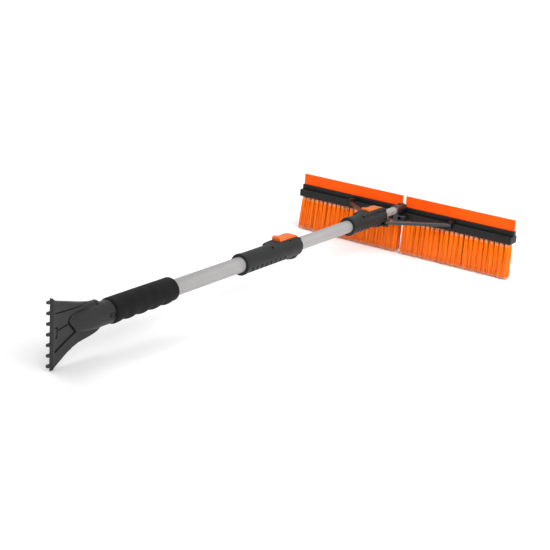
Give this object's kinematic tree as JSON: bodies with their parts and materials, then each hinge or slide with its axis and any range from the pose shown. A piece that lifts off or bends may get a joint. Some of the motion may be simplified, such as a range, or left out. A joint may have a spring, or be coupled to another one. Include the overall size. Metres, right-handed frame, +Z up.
{
  "type": "snow brush scraper",
  "caption": "Telescopic car snow brush: a wide folding brush with squeegee on a three-tube pole with lever locks, a foam grip and a flared ice scraper at the other end.",
  "frame": {"origin": "On the plane of the bristle tips, under the middle of the object's length and width", "axes": "+X runs along the pole from the ice scraper to the brush, +Y is to the left of a user who looks along +X, +Z is up, away from the bristle tips"},
  "size_m": [0.962, 0.469, 0.1408],
  "materials": {
    "scraper_plastic": "semi-matt moulded ABS",
    "housing_plastic": "satin moulded, fine grain",
    "brush_frame_plastic": "satin moulded polypropylene",
    "bush_plastic": "smooth moulded",
    "orange_lever": "semi-gloss moulded",
    "orange_squeegee": "smooth flexible strip",
    "orange_bristle": "translucent filaments in tufts",
    "anodised_tube": "matt anodised",
    "foam": "closed-cell foam",
    "button_plastic": "smooth moulded",
    "brake_rubber": "hard rubber",
    "spring_steel": "bright wire",
    "pin_steel": "blackened steel"
  },
  "bodies": {
    "handle": {"scraper_head": "scraper_plastic", "foam_grip": "foam", "outer_tube": "anodised_tube", "snap_button_spring": "spring_steel", "outer_lock_housing": "housing_plastic", "outer_lock_pivot_pin": "pin_steel", "outer_lock_spring": "spring_steel", "outer_lock_front_bush": "bush_plastic", "outer_lock_screw": "pin_steel"},
    "snap_button": {"scraper_snap_button": "button_plastic"},
    "outer_lever": {"outer_lock_lever": "orange_lever"},
    "outer_shoe": {"outer_lock_brake_shoe": "brake_rubber"},
    "middle": {"middle_tube": "anodised_tube", "middle_tube_rear_bush": "bush_plastic", "inner_lock_housing": "housing_plastic", "inner_lock_pivot_pin": "pin_steel", "inner_lock_spring": "spring_steel", "inner_lock_front_bush": "bush_plastic", "inner_lock_screw": "pin_steel", "strut_root_rivets": "pin_steel"},
    "inner_lever": {"inner_lock_lever": "orange_lever"},
    "inner_shoe": {"inner_lock_brake_shoe": "brake_rubber"},
    "inner": {"inner_tube": "anodised_tube", "inner_tube_rear_bush": "bush_plastic", "brush_hub": "brush_frame_plastic", "hub_rivet": "pin_steel", "hub_hinge_pins": "pin_steel"},
    "left_brush": {"left_bar": "brush_frame_plastic", "left_end_cap": "brush_frame_plastic", "left_squeegee": "orange_squeegee", "left_bristles": "orange_bristle", "left_strut_pin": "pin_steel"},
    "right_brush": {"right_bar": "brush_frame_plastic", "right_end_cap": "brush_frame_plastic", "right_squeegee": "orange_squeegee", "right_bristles": "orange_bristle", "right_strut_pin": "pin_steel"},
    "left_strut": {"left_strut": "brush_frame_plastic"},
    "right_strut": {"right_strut": "brush_frame_plastic"}
  },
  "joints": [
    {"name": "telescope", "type": "slide", "parent": "handle", "child": "middle", "axis": [1, 0, 0], "range_m": [-0.145, 0.165]},
    {"name": "brush_fold", "type": "slide", "parent": "middle", "child": "inner", "axis": [1, 0, 0], "range_m": [0, 0.1442]},
    {"name": "left_brush_hinge", "type": "hinge", "parent": "inner", "child": "left_brush", "pos_m": [0.446, 0.012, 0.089], "axis": [0, 0, 1], "range_deg": [0, 90]},
    {"name": "right_brush_hinge", "type": "hinge", "parent": "inner", "child": "right_brush", "pos_m": [0.446, -0.012, 0.089], "axis": [0, 0, -1], "range_deg": [0, 90]},
    {"name": "left_strut_hinge", "type": "hinge", "parent": "left_brush", "child": "left_strut", "pos_m": [0.452, 0.108, 0.089], "axis": [0, 0, -1], "range_deg": [0, 139.3]},
    {"name": "right_strut_hinge", "type": "hinge", "parent": "right_brush", "child": "right_strut", "pos_m": [0.452, -0.108, 0.089], "axis": [0, 0, 1], "range_deg": [0, 139.3]},
    {"name": "outer_lock_press", "type": "hinge", "parent": "handle", "child": "outer_lever", "pos_m": [0.069, 0, 0.106], "axis": [0, -1, 0], "range_deg": [0, 5], "stiffness_Nm_per_rad": 1, "springref_deg": -8.59, "deforming": ["outer_lock_spring"]},
    {"name": "outer_shoe_lift", "type": "slide", "parent": "handle", "child": "outer_shoe", "axis": [0, 0, 1], "range_m": [0, 0.001]},
    {"name": "inner_lock_press", "type": "hinge", "parent": "middle", "child": "inner_lever", "pos_m": [0.349, 0, 0.1045], "axis": [0, -1, 0], "range_deg": [0, 5], "stiffness_Nm_per_rad": 1, "springref_deg": -8.59, "deforming": ["inner_lock_spring"]},
    {"name": "inner_shoe_lift", "type": "slide", "parent": "middle", "child": "inner_shoe", "axis": [0, 0, 1], "range_m": [0, 0.001]},
    {"name": "snap_button_press", "type": "slide", "parent": "handle", "child": "snap_button", "axis": [0, 1, 0], "range_m": [0, 0.003], "stiffness_N_per_m": 500, "springref_m": -0.002, "deforming": ["snap_button_spring"]}
  ],
  "couplings": [
    {"joint": "left_brush_hinge", "follows": "brush_fold", "rad_per_m": 10.893},
    {"joint": "right_brush_hinge", "follows": "brush_fold", "rad_per_m": 10.893},
    {"joint": "left_strut_hinge", "follows": "brush_fold", "rad_per_m": 16.858},
    {"joint": "right_strut_hinge", "follows": "brush_fold", "rad_per_m": 16.858},
    {"joint": "outer_shoe_lift", "follows": "outer_lock_press", "m_per_rad": 0.0103},
    {"joint": "inner_shoe_lift", "follows": "inner_lock_press", "m_per_rad": 0.0103}
  ]
}
